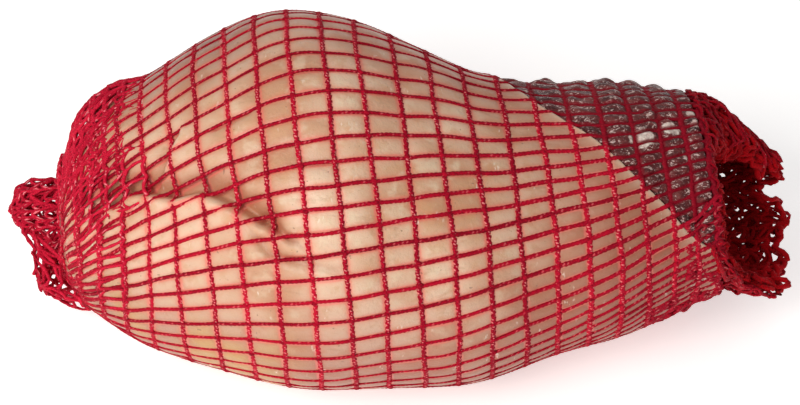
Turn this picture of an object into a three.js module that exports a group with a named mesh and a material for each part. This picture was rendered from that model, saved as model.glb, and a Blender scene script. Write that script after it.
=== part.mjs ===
// Salted pork hock in a knitted elastic net, lying on its side.
// Millimetres, +Z up. X runs along the hock: the tied foot end at -X, the cut meat end at +X.
// Three closed solids: the hock with the net tight on it, and the two free ends of the net.
import * as THREE from 'three'

// ---- Driving dimensions ----
// Sections of the hock, from the foot end to the cut end: half width, how far its axis lies
// to the back, how high its underside hangs over the floor, and how far the lengthwise cords
// have wound round by there, in degrees.
const STATIONS = [
  { x: -101, halfWidth: 18.0, back: 10.0, lift: 19.0, wound: 64 },
  { x: -97, halfWidth: 27.0, back: 9.5, lift: 15.0, wound: 52 },
  { x: -87, halfWidth: 35.3, back: 8.0, lift: 10.0, wound: 34 },
  { x: -75, halfWidth: 41.5, back: 5.4, lift: 6.0, wound: 22 },
  { x: -57, halfWidth: 50.5, back: 4.8, lift: 2.0, wound: 14.5 },
  { x: -38, halfWidth: 56.2, back: 4.2, lift: 0.0, wound: 9.7 },
  { x: -18, halfWidth: 56.2, back: 1.3, lift: 0.0, wound: 4.2 },
  { x: 2, halfWidth: 51.8, back: 0.0, lift: 0.0, wound: -2.4 },
  { x: 22, halfWidth: 46.7, back: -0.7, lift: 0.0, wound: -10 },
  { x: 41, halfWidth: 42.0, back: 3.2, lift: 3.0, wound: -12.7 },
  { x: 60, halfWidth: 39.8, back: 4.9, lift: 8.0, wound: -15.5 },
  { x: 77, halfWidth: 35.0, back: 7.5, lift: 13.0, wound: -21.5 },
  { x: 90, halfWidth: 30.6, back: 8.2, lift: 18.3, wound: -27 },
  { x: 117, halfWidth: 27.0, back: 9.5, lift: 20.0, wound: -32 },
]
const FLATNESS = 0.9 // height of a section over its width
const SETTLE = 2.5 // how far the soft underside is pressed flat by its own weight
const FACE_TURN = 40 // degrees from the top, round to the front, of the middle of the shown side

// The net: 48 lengthwise cords, and round cords 10 mm apart that close up to both ends.
const NET = {
  lengthwiseCords: 48,
  roundCordsToFoot: 12,
  roundCordsToCut: 10,
  middleX: 2.4,
  pitch: 10,
  closeUpToFoot: 0.0108,
  closeUpToCut: 0.014,
  firstCord: 3.4, // degrees from the top to the first lengthwise cord
  cordHeight: 1.1,
  lean: 0.114, // slope of the round cords against a square section
  bow: 0.0007, // their curve to the foot end above and below the middle of the shown side
}

// Where the lengthwise cords crowd together, in degrees round: on the shown side, towards
// the cut end, below the cut end and towards the foot end.
const CROWDING = {
  shown: { turn: 30, width: 22, shift: 1.3, size: 3.3 },
  cut: { fromX: 35, toX: 75, turn: 52, size: 11 },
  below: { fromX: 20, toX: 70, turn: 148, width: 33, size: 13 },
  foot: { fromX: -20, toX: -60, turn: 25, size: 4 },
}

// The slanting cut that bares the meat, and the rind that stands proud of it.
const CUT = { middleX: 64, reach: 34, turn: -68, step: 1.6, stepWidth: 4 }

// Folds of loose skin beside the foot end: points are [x, degrees round from the top].
const FOLDS = [
  { depth: 4.5, width: 3.6, points: [[-82, 35], [-77, 29.5], [-64, 34], [-56, 33.5], [-46, 40], [-33, 50]] },
  { depth: 2.0, width: 3.2, points: [[-44, 44], [-40, 53], [-30, 55.5], [-20, 56.5]] },
  { depth: 1.5, width: 2.6, points: [[-67, 24], [-65.5, 20.5], [-62, 13]] },
]

// Ends of the hock: a small flat at the foot end; at the cut end a shoulder under the net's
// cup, and a bulging meat face.
const SHOULDER = { x: 88.5, drop: 3 }
const MEAT_FACE = [
  { x: 89.2, shrink: 0.99 },
  { x: 90.4, shrink: 0.93 },
  { x: 91.3, shrink: 0.78 },
  { x: 91.8, shrink: 0.45 },
]
const GAP = 0.4

// Foot end of the net: it closes to a blunt tip, and below the tip a lobe of it bulges out.
// Both profiles run from the neck outwards.
const TUFT = {
  tip: [
    { out: 0, radius: 7 }, { out: 0, radius: 11.5 }, { out: 4.5, radius: 11.5 }, { out: 9, radius: 10.5 },
    { out: 12.5, radius: 9 }, { out: 14.8, radius: 6.5 }, { out: 15.6, radius: 3.5 },
  ],
  lobe: [
    { out: 0, radius: 7 }, { out: 0, radius: 11.5 }, { out: 2.5, radius: 18 }, { out: 5.5, radius: 22.5 },
    { out: 8.5, radius: 22 }, { out: 10.5, radius: 14 }, { out: 11.5, radius: 5 },
  ],
  lobeFrom: 0.4, // how far below the tip the lobe starts, and where it is full; 1 is straight below
  lobeFull: 0.85,
  sides: 72,
  lumps: { count: 3, size: 0.09, turn: 35 },
  ruffles: { count: 11, size: 0.07 },
  ruffleReach: 1.5,
}

// Cut end of the net: an open ragged cup that stands on past the meat. Its hem is cut back
// on the shown side and notched at the back, and its upper side slumps inwards.
const CUP = {
  wall: 2.4,
  nearX: 92,
  sideX: 106.5,
  farX: 112,
  taper: 0.25,
  slump: 0.27,
  taperPower: 2.4,
  notch: { depth: 5.5, turn: 224, width: 9 },
  looseness: 0.5,
  sides: 72,
  rows: 5,
  ruffles: { count: 9, size: 1.3 },
  folds: { count: 5, size: 0.65, turn: 60 },
}

// ---- Colours ----
const SKIN_UNDER_NET = new THREE.Color(0xd3a183)
const NET_RED = new THREE.Color(0xb5122a)
const NET_SHADE = new THREE.Color(0x7c0718)
const SKIN_ROUGHNESS = 0.5
const NET_ROUGHNESS = 0.75

const radians = THREE.MathUtils.degToRad

// Smooth curve through the stations: a cubic whose slope at each is that of its neighbours.
function alongHock(name, x) {
  const last = STATIONS.length - 1
  let left = 0
  while (left < last - 1 && STATIONS[left + 1].x < x) left += 1
  const slope = (i) => {
    const before = STATIONS[Math.max(i - 1, 0)]
    const after = STATIONS[Math.min(i + 1, last)]
    return (after[name] - before[name]) / (after.x - before.x)
  }
  const start = STATIONS[left]
  const end = STATIONS[left + 1]
  const span = end.x - start.x
  const t = THREE.MathUtils.clamp((x - start.x) / span, 0, 1)
  const t2 = t * t
  const t3 = t2 * t
  return (2 * t3 - 3 * t2 + 1) * start[name] + (t3 - 2 * t2 + t) * span * slope(left)
    + (3 * t2 - 2 * t3) * end[name] + (t3 - t2) * span * slope(left + 1)
}

// A point of the section at x, its size scaled and raised; turn is in degrees from the top.
function sectionPoint(x, turn, scale, raised) {
  const halfWidth = alongHock('halfWidth', x)
  const halfHeight = halfWidth * FLATNESS
  const middleZ = halfHeight + alongHock('lift', x) - SETTLE
  return {
    y: alongHock('back', x) - (halfWidth * scale + raised) * Math.sin(radians(turn)),
    z: middleZ + (halfHeight * scale + raised) * Math.cos(radians(turn)),
  }
}

// How far the net's lean and bow move a point that rises this far over the axis, as seen
// square to the shown side.
function leanAt(rise) {
  return -NET.lean * rise - NET.bow * rise ** 2
}

// The same on a section that leans with the net, so that round cords are lines of the mesh.
function leaningPoint(x, turn, scale, raised) {
  let leanX = x
  for (let pass = 0; pass < 3; pass += 1) {
    const size = alongHock('halfWidth', leanX) * scale
    leanX = x + leanAt(-size * Math.sin(radians(turn - FACE_TURN)))
  }
  const point = sectionPoint(leanX, turn, scale, raised)
  return new THREE.Vector3(leanX, point.y, Math.max(point.z, 0))
}

// How deep a fold cuts in at a place on the skin.
function foldDepth(fold, x, turn) {
  const millimetresPerDegree = radians(alongHock('halfWidth', x))
  const place = new THREE.Vector3(x, turn * millimetresPerDegree, 0)
  let nearest = Infinity
  for (let i = 1; i < fold.points.length; i += 1) {
    const [startX, startTurn] = fold.points[i - 1]
    const [endX, endTurn] = fold.points[i]
    const line = new THREE.Line3(
      new THREE.Vector3(startX, startTurn * millimetresPerDegree, 0),
      new THREE.Vector3(endX, endTurn * millimetresPerDegree, 0),
    )
    const closest = line.closestPointToPoint(place, true, new THREE.Vector3())
    nearest = Math.min(nearest, closest.distanceTo(place))
  }
  return fold.depth * Math.exp(-((nearest / fold.width) ** 2))
}

// Height of the bare hock over its section: the folds, and the drop from rind to meat.
function hockRelief(x, turn) {
  const cutX = CUT.middleX - CUT.reach * Math.cos(radians(turn - CUT.turn))
  const drop = CUT.step * THREE.MathUtils.smoothstep(x, cutX, cutX + CUT.stepWidth)
  return -drop - FOLDS.reduce((sum, fold) => sum + foldDepth(fold, x, turn), 0)
}

// A closed mesh from rings of points, each ring as long as the others, closed at both ends
// by a fan, or joined last to first into a ring-shaped shell.
function closedMesh(rings, joined) {
  const sides = rings[0].length
  const points = rings.flat()
  const triangles = []
  const pairs = joined ? rings.length : rings.length - 1
  for (let row = 0; row < pairs; row += 1) {
    const here = row * sides
    const there = ((row + 1) % rings.length) * sides
    for (let side = 0; side < sides; side += 1) {
      const next = (side + 1) % sides
      triangles.push(here + side, here + next, there + next)
      triangles.push(here + side, there + next, there + side)
    }
  }
  if (!joined) {
    for (const [ring, flip] of [[rings[0], true], [rings[rings.length - 1], false]]) {
      const first = points.indexOf(ring[0])
      const centre = ring.reduce((sum, p) => sum.add(p), new THREE.Vector3()).divideScalar(sides)
      points.push(centre)
      for (let side = 0; side < sides; side += 1) {
        const edge = [first + side, first + (side + 1) % sides]
        if (flip) edge.reverse()
        triangles.push(points.length - 1, ...edge)
      }
    }
  }
  const geometry = new THREE.BufferGeometry().setFromPoints(points)
  geometry.setIndex(triangles)
  geometry.computeVertexNormals()
  return geometry
}

// The same turn, counted from -180 to 180 degrees.
function facing(turn) {
  return THREE.MathUtils.euclideanModulo(turn + 180, 360) - 180
}

// How much of a crowding is felt at x: none at its fromX, all of it from toX on.
function shareOf(crowding, x) {
  const reach = crowding.toX - crowding.fromX
  return THREE.MathUtils.smoothstep((x - crowding.fromX) / reach, 0, 1)
}

// Degrees round at x of a lengthwise line of the net, named by its even place round the hock.
function netTurn(line, x) {
  const { shown, cut, below, foot } = CROWDING
  const onShown = Math.cos(radians(line - shown.turn) / 2) ** 2
  const crowd = (shown.shift - shown.size * Math.tanh((line - shown.turn) / shown.width)) * onShown
  const toCut = cut.size * shareOf(cut, x) * Math.sin(radians(line - cut.turn))
  const fromBelow = facing(line - below.turn) / below.width
  const toBelow = below.size * shareOf(below, x) * Math.exp(-(fromBelow ** 2))
  const toFoot = foot.size * shareOf(foot, x) * Math.sin(radians(line - foot.turn))
  return facing(line + crowd - toCut - toBelow - toFoot + alongHock('wound', x))
}

// Points round the hock at x, two for each lengthwise cord; raisedAt gives their height.
function ringRoundHock(x, scale, raisedAt) {
  const steps = NET.lengthwiseCords * 2
  return Array.from({ length: steps }, (_, step) => {
    const turn = netTurn(facing(step * 360 / steps + NET.firstCord), x)
    return leaningPoint(x, turn, scale, raisedAt(turn, step))
  })
}

// The same with the skin's relief, and the cords of the net raised on it.
function netRing(x, onRoundCord, drop) {
  return ringRoundHock(x, 1, (turn, step) => {
    const cord = onRoundCord || step % 2 === 0 ? NET.cordHeight : 0
    return hockRelief(x, turn) + cord - drop
  })
}

// Where the round cord with this number lies: 0 is the middle one.
function roundCordX(number) {
  const closeUp = number < 0 ? NET.closeUpToFoot : NET.closeUpToCut
  return NET.middleX + NET.pitch * number - closeUp * number ** 3
}

// The hock with the net tight on it.
function hockInNet() {
  const rings = [ringRoundHock(STATIONS[0].x, 1, () => 0)]
  for (let number = -NET.roundCordsToFoot; number <= NET.roundCordsToCut; number += 1) {
    rings.push(netRing(roundCordX(number), true, 0))
    if (number < NET.roundCordsToCut) rings.push(netRing(roundCordX(number + 0.5), false, 0))
  }
  rings.push(netRing(SHOULDER.x + GAP / 2, false, SHOULDER.drop + NET.cordHeight))
  for (const { x, shrink } of MEAT_FACE) {
    rings.push(ringRoundHock(x, shrink, () => -SHOULDER.drop))
  }
  return closedMesh(rings, false)
}

// One wave or more round a hem.
function wavesAt(turn, { count, size, turn: offset = 0 }) {
  return size * Math.cos(radians(count * turn + offset))
}

// 1 at the upper edge of the shown side, -1 at its lower edge.
function upwardsAt(turn) {
  return Math.cos(radians(turn - FACE_TURN + 90))
}

// The gathered foot end of the net: a blunt tip with a lobe below it.
function netTuft() {
  const { x: endX, halfWidth, back, lift } = STATIONS[0]
  const middleZ = halfWidth * FLATNESS + lift - SETTLE
  const rings = TUFT.tip.map((tip, row) => Array.from({ length: TUFT.sides }, (_, side) => {
    const turn = 360 * side / TUFT.sides
    const upwards = upwardsAt(turn)
    const low = THREE.MathUtils.smoothstep(-upwards, TUFT.lobeFrom, TUFT.lobeFull)
    const share = row / (TUFT.tip.length - 1)
    const ruffle = wavesAt(turn, TUFT.lumps) + wavesAt(turn, TUFT.ruffles) * share
    const radius = THREE.MathUtils.lerp(tip.radius, TUFT.lobe[row].radius, low) * (1 + ruffle)
    const out = THREE.MathUtils.lerp(tip.out, TUFT.lobe[row].out, low) - TUFT.ruffleReach * ruffle * share
    return new THREE.Vector3(
      endX - GAP - Math.max(out, 0) + leanAt(radius * upwards),
      back - radius * Math.sin(radians(turn)),
      middleZ + radius * Math.cos(radians(turn)),
    )
  }))
  return closedMesh(rings.reverse(), false)
}

// How far the cup reaches past the hock, going round.
function cupReach(turn, away, wave) {
  const { smoothstep } = THREE.MathUtils
  const { depth, turn: notchTurn, width } = CUP.notch
  const toSide = (CUP.sideX - CUP.nearX) * smoothstep(away, 0, 0.5)
  const toFar = (CUP.farX - CUP.sideX) * smoothstep(away, 0.5, 1)
  const notch = depth * Math.exp(-((facing(turn - notchTurn) / width) ** 2))
  return CUP.nearX - SHOULDER.x - GAP + toSide + toFar + wave * away - notch
}

// The open cut end of the net: a thin ragged cup, cut back on the shown side.
function netCup() {
  const wallRing = (share, inward) => Array.from({ length: CUP.sides }, (_, side) => {
    const turn = 360 * side / CUP.sides
    const away = (1 - Math.cos(radians(turn - FACE_TURN))) / 2
    const wave = wavesAt(turn, CUP.ruffles) + wavesAt(turn, CUP.folds)
    const x = SHOULDER.x + GAP + cupReach(turn, away, wave) * share
    const taper = CUP.taper * Math.min(2 * away, 1) + CUP.slump * upwardsAt(turn)
    const scale = 1 - taper * share ** CUP.taperPower
    return leaningPoint(x, turn, scale, share * wave + CUP.looseness * Math.min(2 * away, 1) - inward)
  })
  const rings = []
  for (let row = 0; row <= CUP.rows; row += 1) rings.push(wallRing(row / CUP.rows, 0))
  for (let row = CUP.rows; row >= 0; row -= 1) rings.push(wallRing(row / CUP.rows, CUP.wall))
  return closedMesh(rings, true)
}

function piece(name, geometry, color, roughness) {
  const mesh = new THREE.Mesh(geometry, new THREE.MeshStandardMaterial({ color, roughness, metalness: 0 }))
  mesh.name = name
  return mesh
}

const hock = new THREE.Group()
hock.add(piece('hock_in_net', hockInNet(), SKIN_UNDER_NET, SKIN_ROUGHNESS))
hock.add(piece('net_foot_end', netTuft(), NET_RED, NET_ROUGHNESS))
hock.add(piece('net_cut_end', netCup(), NET_SHADE, NET_ROUGHNESS))

// The origin is on the floor, under the middle of the whole.
const extent = new THREE.Box3().setFromObject(hock)
const middle = extent.getCenter(new THREE.Vector3())
hock.position.set(-middle.x, -middle.y, -extent.min.z)

export default hock
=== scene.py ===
# %% [markdown]
# # A salted pork hock in its knitted net
#
# The real thing is a pear-shaped piece of pork leg. Most of it is covered in pale rind, one
# slanting cut bares dark cured meat, and a red elastic net is pulled tight over everything.
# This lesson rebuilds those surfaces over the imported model, which fixes the sizes.
#
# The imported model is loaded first. It is never moved: every piece made here is laid on it.

import math
from functools import partial

import bpy
import numpy as np
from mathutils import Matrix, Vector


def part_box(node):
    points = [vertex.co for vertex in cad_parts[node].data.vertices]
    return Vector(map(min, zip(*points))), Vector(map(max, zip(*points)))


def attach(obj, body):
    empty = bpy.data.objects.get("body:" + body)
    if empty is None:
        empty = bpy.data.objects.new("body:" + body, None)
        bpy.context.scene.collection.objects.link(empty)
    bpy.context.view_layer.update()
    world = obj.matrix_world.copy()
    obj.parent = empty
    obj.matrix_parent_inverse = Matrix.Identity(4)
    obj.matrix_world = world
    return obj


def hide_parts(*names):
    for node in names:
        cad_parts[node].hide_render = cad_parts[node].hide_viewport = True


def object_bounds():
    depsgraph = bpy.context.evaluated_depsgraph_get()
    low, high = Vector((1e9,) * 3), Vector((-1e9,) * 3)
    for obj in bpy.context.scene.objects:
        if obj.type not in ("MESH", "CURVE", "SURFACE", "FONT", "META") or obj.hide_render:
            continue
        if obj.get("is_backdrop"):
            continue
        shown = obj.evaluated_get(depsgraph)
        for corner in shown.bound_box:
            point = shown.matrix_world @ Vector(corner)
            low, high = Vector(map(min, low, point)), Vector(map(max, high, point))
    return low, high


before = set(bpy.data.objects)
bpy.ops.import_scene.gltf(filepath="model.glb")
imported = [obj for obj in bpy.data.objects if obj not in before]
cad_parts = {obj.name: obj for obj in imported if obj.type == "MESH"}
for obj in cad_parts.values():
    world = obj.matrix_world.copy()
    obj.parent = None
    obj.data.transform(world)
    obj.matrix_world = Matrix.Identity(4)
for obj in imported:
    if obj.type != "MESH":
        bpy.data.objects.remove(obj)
packed_low, packed_high = (list(corner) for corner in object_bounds())
MM = 0.001
print("packed box in mm:", [round((b - a) / MM, 1) for a, b in zip(packed_low, packed_high)])

# %% [markdown]
# ## Camera, light and floor
#
# The camera stands where the photographer stood: square to the long side of the hock and
# looking down on it by fifty degrees, with a long lens from 70 cm. A soft light close to it,
# a little to the left, does most of the work: the foot end and the middle are bright, and
# the skin falls into shade towards every edge and towards the cut end.

# %% Camera
CAMERA_ELEVATION = math.radians(50)
CAMERA_DISTANCE = 0.70
LENS_MM = 107.5
AIM_LEFT, AIM_DOWN = 0.00018, 0.0025  # the photograph frames the hock a little off centre

up_in_view = np.array([0, math.sin(CAMERA_ELEVATION), math.cos(CAMERA_ELEVATION)])
towards_camera = np.array([0, -math.cos(CAMERA_ELEVATION), math.sin(CAMERA_ELEVATION)])
middle = (np.array(packed_low) + np.array(packed_high)) / 2
aim = middle - np.array([AIM_LEFT, 0, 0]) - up_in_view * AIM_DOWN

camera_data = bpy.data.cameras.new("camera")
camera_data.lens = LENS_MM
camera = bpy.data.objects.new("camera", camera_data)
camera.location = aim + towards_camera * CAMERA_DISTANCE
camera.rotation_euler = (math.pi / 2 - CAMERA_ELEVATION, 0, 0)
bpy.context.scene.collection.objects.link(camera)
bpy.context.scene.camera = camera
print("camera at", [round(v, 3) for v in camera.location])


# %% Lights
def area_light(name, place, size, watts, colour):
    """A square soft light that faces the middle of the hock."""
    data = bpy.data.lights.new(name, "AREA")
    data.size = size
    data.energy = watts
    data.color = colour
    light = bpy.data.objects.new(name, data)
    light.location = place
    x, y, z = middle - np.array(place)
    light.rotation_euler = (math.atan2(math.hypot(x, y), -z), 0, math.atan2(-x, y))
    bpy.context.scene.collection.objects.link(light)
    print(f"{name}: {watts} W, {size} m across")


area_light("key_light", (-0.28, -0.36, 0.50), size=0.34, watts=2.9, colour=(1.0, 0.98, 0.95))
area_light("top_light", (0.05, 0.45, 0.80), size=0.6, watts=0.7, colour=(0.97, 0.98, 1.0))
area_light("front_fill", (0.1, -0.9, 0.35), size=0.7, watts=0.4, colour=(1.0, 0.98, 0.96))

world = bpy.data.worlds.new("studio")
world.use_nodes = True
background = world.node_tree.nodes["Background"]
background.inputs["Color"].default_value = (1.0, 0.985, 0.965, 1)
background.inputs["Strength"].default_value = 0.36
bpy.context.scene.world = world
bpy.context.scene.view_settings.view_transform = "Standard"

# %% Floor
FLOOR_REACH = 3.0
FLOOR_GLOW = 0.46  # keeps the floor white where the lights fall off
floor_mesh = bpy.data.meshes.new("floor")
corners = [(-1, -1, 0), (1, -1, 0), (1, 1, 0), (-1, 1, 0)]
floor_mesh.from_pydata([tuple(FLOOR_REACH * v for v in c) for c in corners], [], [(0, 1, 2, 3)])
floor = bpy.data.objects.new("floor", floor_mesh)
bpy.context.scene.collection.objects.link(floor)
floor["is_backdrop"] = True
floor_finish = bpy.data.materials.new("floor")
floor_finish.use_nodes = True
floor_look = {
    "Base Color": (0.95, 0.95, 0.95, 1), "Roughness": 0.9,
    "Emission Color": (1, 1, 1, 1), "Emission Strength": FLOOR_GLOW,
}
for socket, value in floor_look.items():
    floor_finish.node_tree.nodes["Principled BSDF"].inputs[socket].default_value = value
floor_mesh.materials.append(floor_finish)

# %% [markdown]
# ## The shape of the hock
#
# A hock is nearly round in section, so its form is a row of sections along its length, with
# a smooth curve through their sizes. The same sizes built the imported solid, so the skin made
# here lies exactly on it.
#
# The net needs its own measure of place. A round cord leans a little, and a lengthwise cord
# winds a little round the hock, so a point is named by the numbers of its two cords, and the
# functions below turn those into a place in space.

# %% Sections of the hock
# x, half width, how far back, height of the underside over the floor, degrees wound
STATIONS = np.array([
    (-101, 18.0, 10.0, 19.0, 64),
    (-97, 27.0, 9.5, 15.0, 52),
    (-87, 35.3, 8.0, 10.0, 34),
    (-75, 41.5, 5.4, 6.0, 22),
    (-57, 50.5, 4.8, 2.0, 14.5),
    (-38, 56.2, 4.2, 0.0, 9.7),
    (-18, 56.2, 1.3, 0.0, 4.2),
    (2, 51.8, 0.0, 0.0, -2.4),
    (22, 46.7, -0.7, 0.0, -10),
    (41, 42.0, 3.2, 3.0, -12.7),
    (60, 39.8, 4.9, 8.0, -15.5),
    (77, 35.0, 7.5, 13.0, -21.5),
    (90, 30.6, 8.2, 18.3, -27),
    (117, 27.0, 9.5, 20.0, -32),
])
HALF_WIDTH, BACK, LIFT, WOUND = 1, 2, 3, 4
FLATNESS = 0.9
SETTLE = 2.5
FACE_TURN = 40  # degrees from the top, round to the front, of the middle of the shown side


def along_hock(column, x):
    """The smooth curve through one column of the stations."""
    places, values = STATIONS[:, 0], STATIONS[:, column]
    x = np.asarray(x, float)
    numbers, last = np.arange(len(places)), len(places) - 1
    before, after = np.maximum(numbers - 1, 0), np.minimum(numbers + 1, last)
    slopes = (values[after] - values[before]) / (places[after] - places[before])
    left = np.clip(np.searchsorted(places, x) - 1, 0, last - 1)
    span = places[left + 1] - places[left]
    t = np.clip((x - places[left]) / span, 0, 1)
    start = (2 * t**3 - 3 * t**2 + 1) * values[left] + (t**3 - 2 * t**2 + t) * span * slopes[left]
    end = (3 * t**2 - 2 * t**3) * values[left + 1]
    return start + end + (t**3 - t**2) * span * slopes[left + 1]


print("widest section:", 2 * STATIONS[:, HALF_WIDTH].max(), "mm")


# %% Sizes of the net
LENGTHWISE_CORDS = 48
FOOT_CORD, CUT_CORD = -12, 10  # numbers of the first and the last round cord; 0 is the middle one
NET_MIDDLE, NET_PITCH = 2.4, 10.0
CLOSE_UP_TO_FOOT, CLOSE_UP_TO_CUT = 0.0108, 0.014
NET_LEAN, NET_BOW = 0.114, 0.0007
LEAN_ROUNDS = 3  # the lean depends on the width there, so it is found in rounds


def round_cord_x(number):
    """Where the round cord of this number lies on the middle of the shown side."""
    close_up = np.where(np.asarray(number) < 0, CLOSE_UP_TO_FOOT, CLOSE_UP_TO_CUT)
    return NET_MIDDLE + NET_PITCH * number - close_up * np.asarray(number, float) ** 3


CORD_NUMBERS = np.linspace(FOOT_CORD - 1, CUT_CORD + 2, 400)


def round_cord_number(x):
    """The number of the round cord at x, with parts of a cord between two."""
    return np.interp(x, round_cord_x(CORD_NUMBERS), CORD_NUMBERS)


# %% From the net's numbers to a place
def on_section(x, turn, raised=0.0, scale=1.0):
    """A point of the leaning section at x; turn is in degrees from the top to the front."""
    x, turn = np.broadcast_arrays(np.asarray(x, float), np.asarray(turn, float))
    sine, cosine = np.sin(np.radians(turn)), np.cos(np.radians(turn))
    lean_x = x
    for _ in range(LEAN_ROUNDS):
        rise = -along_hock(HALF_WIDTH, lean_x) * scale * np.sin(np.radians(turn - FACE_TURN))
        lean_x = x - NET_LEAN * rise - NET_BOW * rise**2
    half_width = along_hock(HALF_WIDTH, lean_x)
    middle_z = half_width * FLATNESS + along_hock(LIFT, lean_x) - SETTLE
    y = along_hock(BACK, lean_x) - (half_width * scale + raised) * sine
    z = middle_z + (half_width * FLATNESS * scale + raised) * cosine
    return np.stack([lean_x, y, z], axis=-1)


def unit(vectors):
    """The same directions, one long."""
    return vectors / np.linalg.norm(vectors, axis=-1, keepdims=True)


def outward(x, turn):
    """The direction that points straight out of the hock there."""
    x, turn, step = np.asarray(x), np.asarray(turn), 0.2
    lengthwise = on_section(x + step, turn) - on_section(x - step, turn)
    around = on_section(x, turn + step) - on_section(x, turn - step)
    return unit(np.cross(around, lengthwise))


PACKED_RELIEF = 1.1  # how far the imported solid's cords stand out
ALL_ROUND = np.arange(0, 360, 3.75)
foot_ring = on_section(STATIONS[0, 0], ALL_ROUND)
belly = on_section(*np.meshgrid(np.linspace(-60, 0, 121), ALL_ROUND), PACKED_RELIEF)
node_low, node_high = (np.array(corner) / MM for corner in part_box("hock_in_net"))
SHIFT = np.array([
    node_low[0] - foot_ring[:, 0].min(),
    (node_low[1] + node_high[1] - belly[..., 1].min() - belly[..., 1].max()) / 2,
    0,
])
print("the packed solid stands", SHIFT.round(2), "mm from the section's own origin")


def in_frame(points):
    """Millimetres of the sections to metres of the frame, pressed flat on the floor."""
    placed = points + SHIFT
    placed[..., 2] = np.maximum(placed[..., 2], 0.0)
    return placed * MM


# %% [markdown]
# ## Making meshes
#
# Every surface here is a grid of points worked out by arrays, because arrays stay quick
# with a hundred thousand points. The rows of a grid are rings, so one helper makes the rind,
# the meat and each cord. Numbers that a material needs, such as how deep a fold is, ride on
# the mesh as named attributes.


# %% Mesh helpers
def grid_quads(rows, columns, closed):
    """Corner numbers of the faces of a grid whose rows are rings; closed joins the ends too."""
    corners = np.arange(rows * columns).reshape(rows, columns)
    if closed:
        corners = np.vstack([corners, corners[:1]])
    beside = np.roll(corners, -1, 1)
    return np.stack([corners[:-1], corners[1:], beside[1:], beside[:-1]], -1).reshape(-1, 4)


class Bundle:
    """Collects grids of points and makes them into one piece."""

    def __init__(self):
        self.points, self.quads, self.numbers, self.count = [], [], {}, 0

    def add(self, points, closed=False, **numbers):
        rows, columns = points.shape[:2]
        self.quads.append(grid_quads(rows, columns, closed) + self.count)
        self.points.append(points.reshape(-1, 3))
        self.count += rows * columns
        for key, values in numbers.items():
            spread = np.broadcast_to(values, (rows, columns)).ravel()
            self.numbers.setdefault(key, []).append(spread)

    def make(self, name, finish, slot, *nodes):
        """One piece, dressed, riding on the root and standing for its nodes."""
        points, quads = in_frame(np.concatenate(self.points)), np.concatenate(self.quads)
        mesh = bpy.data.meshes.new(name)
        mesh.from_pydata(points, [], quads, shade_flat=False)
        for key, parts in self.numbers.items():
            values = np.concatenate(parts).astype(np.float32)
            mesh.attributes.new(key, "FLOAT", "POINT").data.foreach_set("value", values)
        mesh.materials.append(finish)
        piece = bpy.data.objects.new(name, mesh)
        bpy.context.scene.collection.objects.link(piece)
        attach(piece, "root")
        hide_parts(*nodes)
        print(f"{name}: {len(points)} points, {2 * len(quads)} triangles")


# %% A seeded ripple for natural unevenness
WAVES = 9


def ripple(points, wavelength, seed):
    """Smooth unevenness between about -1 and 1, the same at every run."""
    draw = np.random.default_rng(seed)
    directions = unit(draw.normal(size=(WAVES, points.shape[-1])))
    lengths = wavelength * draw.uniform(0.7, 1.5, WAVES)
    phases = draw.uniform(0, 2 * np.pi, WAVES)
    waves_here = np.sin(points @ (directions.T * 2 * np.pi / lengths) + phases)
    return waves_here.sum(-1) / math.sqrt(WAVES * 2)


def ripples(points, *heights_sizes_seeds):
    """Several ripples on top of each other."""
    return sum(height * ripple(points, size, seed) for height, size, seed in heights_sizes_seeds)


# %% [markdown]
# ## Finishes
#
# A finish is a tree of shader nodes, which is long and hard to read when written out. So a
# small class wraps a socket and lets Python's arithmetic add the Math nodes, and one other
# method makes every other kind of node.


# %% Shader helpers
class Value:
    """A socket that can be used in sums."""

    def __init__(self, finish, socket):
        self.finish, self.socket = finish, socket

    def sum(self, operation, first, second):
        return self.finish.node("ShaderNodeMath", {"operation": operation}, {0: first, 1: second})

    def __add__(self, other):
        return self.sum("ADD", self, other)

    def __sub__(self, other):
        return self.sum("SUBTRACT", self, other)

    def __rsub__(self, other):
        return self.sum("SUBTRACT", other, self)

    def __mul__(self, other):
        return self.sum("MULTIPLY", self, other)

    __radd__ = __add__
    __rmul__ = __mul__


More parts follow.
